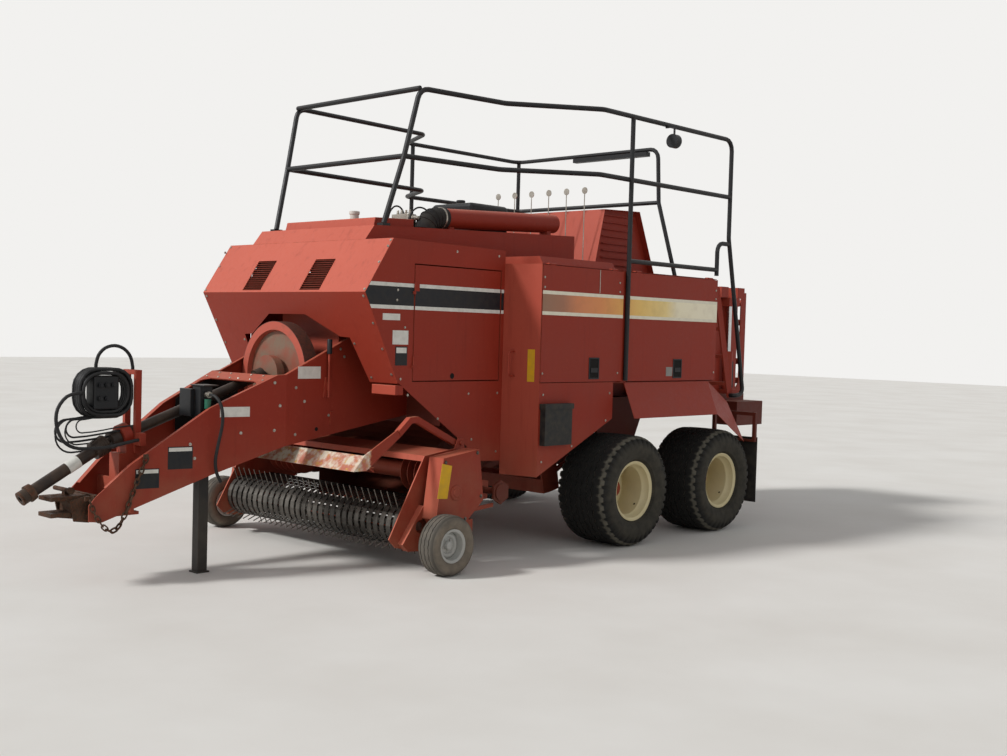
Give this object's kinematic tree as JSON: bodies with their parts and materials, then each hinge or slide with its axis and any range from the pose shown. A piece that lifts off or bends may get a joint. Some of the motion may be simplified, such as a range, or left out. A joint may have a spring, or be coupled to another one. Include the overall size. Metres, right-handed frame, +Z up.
{
  "type": "large square baler",
  "caption": "Towed large square baler with tandem wheels, low pickup, raised flywheel drive, twine boxes, hand rails and a fold-up chute.",
  "frame": {"origin": "on the ground, at the middle of the parked machine's box", "axes": "-Y towards the drawbar and tractor, +X to the machine's left, +Z up"},
  "size_m": [2.871, 7.0722, 3.3589],
  "materials": {
    "red_paint": "sun-faded red enamel, chalky, rusty at the edges",
    "black_paint": "black enamel, dusty",
    "cream_paint": "cream enamel, dusty",
    "grey_paint": "silver grey enamel, dusty",
    "worn_steel": "bare steel polished and browned by crop",
    "chrome": "hard chrome",
    "tyre": "weathered tyre rubber with dust",
    "rubber": "matt sheet rubber",
    "lens": "amber lens plastic",
    "hose_rubber": "hose rubber"
  },
  "bodies": {
    "chassis": {"main_frame": "red_paint", "tandem_beams": "red_paint", "bale_chamber": "red_paint", "feeder_duct": "red_paint", "tongue": "red_paint", "hitch": "worn_steel", "jack_tube": "black_paint", "gearbox": "red_paint", "front_shield": "red_paint", "side_panels": "red_paint", "top_hood": "red_paint", "knotter_hood": "red_paint", "air_duct": "red_paint", "oil_tank": "black_paint", "twine_boxes": "red_paint", "fenders": "red_paint", "mudflaps": "rubber", "handrail_left": "black_paint", "handrail_right": "black_paint", "ladder": "red_paint", "lamps": "lens", "density_rails": "red_paint", "density_rods": "chrome", "document_box": "black_paint", "work_lamp": "black_paint", "knotter_flags": "worn_steel", "chain_safety": "worn_steel", "hose_hank": "hose_rubber", "hose_loop": "hose_rubber", "hose_arch": "hose_rubber", "hose_jack": "hose_rubber"},
    "wheel_left_front": {"tyre_left_front": "tyre", "rim_left_front": "cream_paint"},
    "wheel_left_rear": {"tyre_left_rear": "tyre", "rim_left_rear": "cream_paint"},
    "wheel_right_front": {"tyre_right_front": "tyre", "rim_right_front": "cream_paint"},
    "wheel_right_rear": {"tyre_right_rear": "tyre", "rim_right_rear": "cream_paint"},
    "jack": {"jack_leg": "black_paint"},
    "flywheel_body": {"flywheel": "worn_steel"},
    "drive_line": {"drive_shaft": "black_paint"},
    "pto_line": {"pto_shaft": "black_paint"},
    "pickup": {"pickup_frame": "red_paint"},
    "reel": {"pickup_reel": "worn_steel"},
    "auger": {"feed_auger": "red_paint"},
    "guard": {"wind_guard": "red_paint"},
    "gauge_wheel_left": {"gauge_tyre_left": "tyre", "gauge_rim_left": "grey_paint"},
    "gauge_wheel_right": {"gauge_tyre_right": "tyre", "gauge_rim_right": "grey_paint"},
    "nose_door_left": {"front_door_left": "red_paint"},
    "nose_door_right": {"front_door_right": "red_paint"},
    "twine_door_left_front": {"box_door_left_front": "red_paint"},
    "twine_door_left_rear": {"box_door_left_rear": "red_paint"},
    "twine_door_right_front": {"box_door_right_front": "red_paint"},
    "twine_door_right_rear": {"box_door_right_rear": "red_paint"},
    "needles": {"needle_yoke": "red_paint"},
    "bale_chute": {"chute": "red_paint"}
  },
  "joints": [
    {"name": "left_front_wheel_spin", "type": "hinge", "parent": "chassis", "child": "wheel_left_front", "pos_m": [1.19, 0.74109, 0.433], "axis": [1, 0, 0], "continuous": true},
    {"name": "left_rear_wheel_spin", "type": "hinge", "parent": "chassis", "child": "wheel_left_rear", "pos_m": [1.19, 1.95409, 0.433], "axis": [1, 0, 0], "continuous": true},
    {"name": "right_front_wheel_spin", "type": "hinge", "parent": "chassis", "child": "wheel_right_front", "pos_m": [-1.19, 0.74109, 0.433], "axis": [1, 0, 0], "continuous": true},
    {"name": "right_rear_wheel_spin", "type": "hinge", "parent": "chassis", "child": "wheel_right_rear", "pos_m": [-1.19, 1.95409, 0.433], "axis": [1, 0, 0], "continuous": true},
    {"name": "jack_slide", "type": "slide", "parent": "chassis", "child": "jack", "axis": [0, 0, 1], "range_m": [-0.25, 0]},
    {"name": "flywheel_spin", "type": "hinge", "parent": "chassis", "child": "flywheel_body", "pos_m": [0, -1.67891, 1.3], "axis": [0, 1, 0], "continuous": true},
    {"name": "drive_spin", "type": "hinge", "parent": "chassis", "child": "drive_line", "pos_m": [0, -2.94891, 0.87], "axis": [0, 0.9405, 0.3399], "continuous": true},
    {"name": "pto_spin", "type": "hinge", "parent": "chassis", "child": "pto_line", "pos_m": [0, -2.94891, 0.87], "axis": [0, 0.8701, 0.4928], "continuous": true},
    {"name": "pickup_lift", "type": "hinge", "parent": "chassis", "child": "pickup", "pos_m": [0, -0.55891, 0.5], "axis": [-1, 0, 0], "range_deg": [0, 16]},
    {"name": "reel_spin", "type": "hinge", "parent": "pickup", "child": "reel", "pos_m": [0, -1.20891, 0.3], "axis": [1, 0, 0], "continuous": true},
    {"name": "auger_spin", "type": "hinge", "parent": "pickup", "child": "auger", "pos_m": [0, -0.87891, 0.62], "axis": [1, 0, 0], "continuous": true},
    {"name": "guard_swing", "type": "hinge", "parent": "pickup", "child": "guard", "pos_m": [0, -0.78891, 0.845], "axis": [-1, 0, 0], "range_deg": [-16, 0]},
    {"name": "gauge_left_spin", "type": "hinge", "parent": "pickup", "child": "gauge_wheel_left", "pos_m": [1.2975, -1.18891, 0.2045], "axis": [1, 0, 0], "continuous": true},
    {"name": "gauge_right_spin", "type": "hinge", "parent": "pickup", "child": "gauge_wheel_right", "pos_m": [-1.2975, -1.18891, 0.2045], "axis": [1, 0, 0], "continuous": true},
    {"name": "twine_left_front_open", "type": "hinge", "parent": "chassis", "child": "twine_door_left_front", "pos_m": [1.248, 0.74109, 2.144], "axis": [0, -1, 0], "range_deg": [0, 80]},
    {"name": "twine_left_rear_open", "type": "hinge", "parent": "chassis", "child": "twine_door_left_rear", "pos_m": [1.248, 0.74109, 2.144], "axis": [0, -1, 0], "range_deg": [0, 80]},
    {"name": "nose_left_open", "type": "hinge", "parent": "chassis", "child": "nose_door_left", "pos_m": [0.949, -1.20791, 1.6], "axis": [0, 0, -1], "range_deg": [0, 95]},
    {"name": "twine_right_front_open", "type": "hinge", "parent": "chassis", "child": "twine_door_right_front", "pos_m": [-1.248, 0.74109, 2.144], "axis": [0, 1, 0], "range_deg": [0, 80]},
    {"name": "twine_right_rear_open", "type": "hinge", "parent": "chassis", "child": "twine_door_right_rear", "pos_m": [-1.248, 0.74109, 2.144], "axis": [0, 1, 0], "range_deg": [0, 80]},
    {"name": "nose_right_open", "type": "hinge", "parent": "chassis", "child": "nose_door_right", "pos_m": [-0.949, -1.20791, 1.6], "axis": [0, 0, 1], "range_deg": [0, 95]},
    {"name": "needle_stroke", "type": "hinge", "parent": "chassis", "child": "needles", "pos_m": [0, 0.39109, 1.45], "axis": [1, 0, 0], "range_deg": [0, 56]},
    {"name": "chute_fold", "type": "hinge", "parent": "chassis", "child": "bale_chute", "pos_m": [0, 3.38609, 1.09], "axis": [-1, 0, 0], "range_deg": [0, 85]}
  ],
  "couplings": [
    {"joint": "drive_spin", "follows": "flywheel_spin", "ratio": 1},
    {"joint": "pto_spin", "follows": "flywheel_spin", "ratio": 1},
    {"joint": "guard_swing", "follows": "pickup_lift", "ratio": -1}
  ]
}
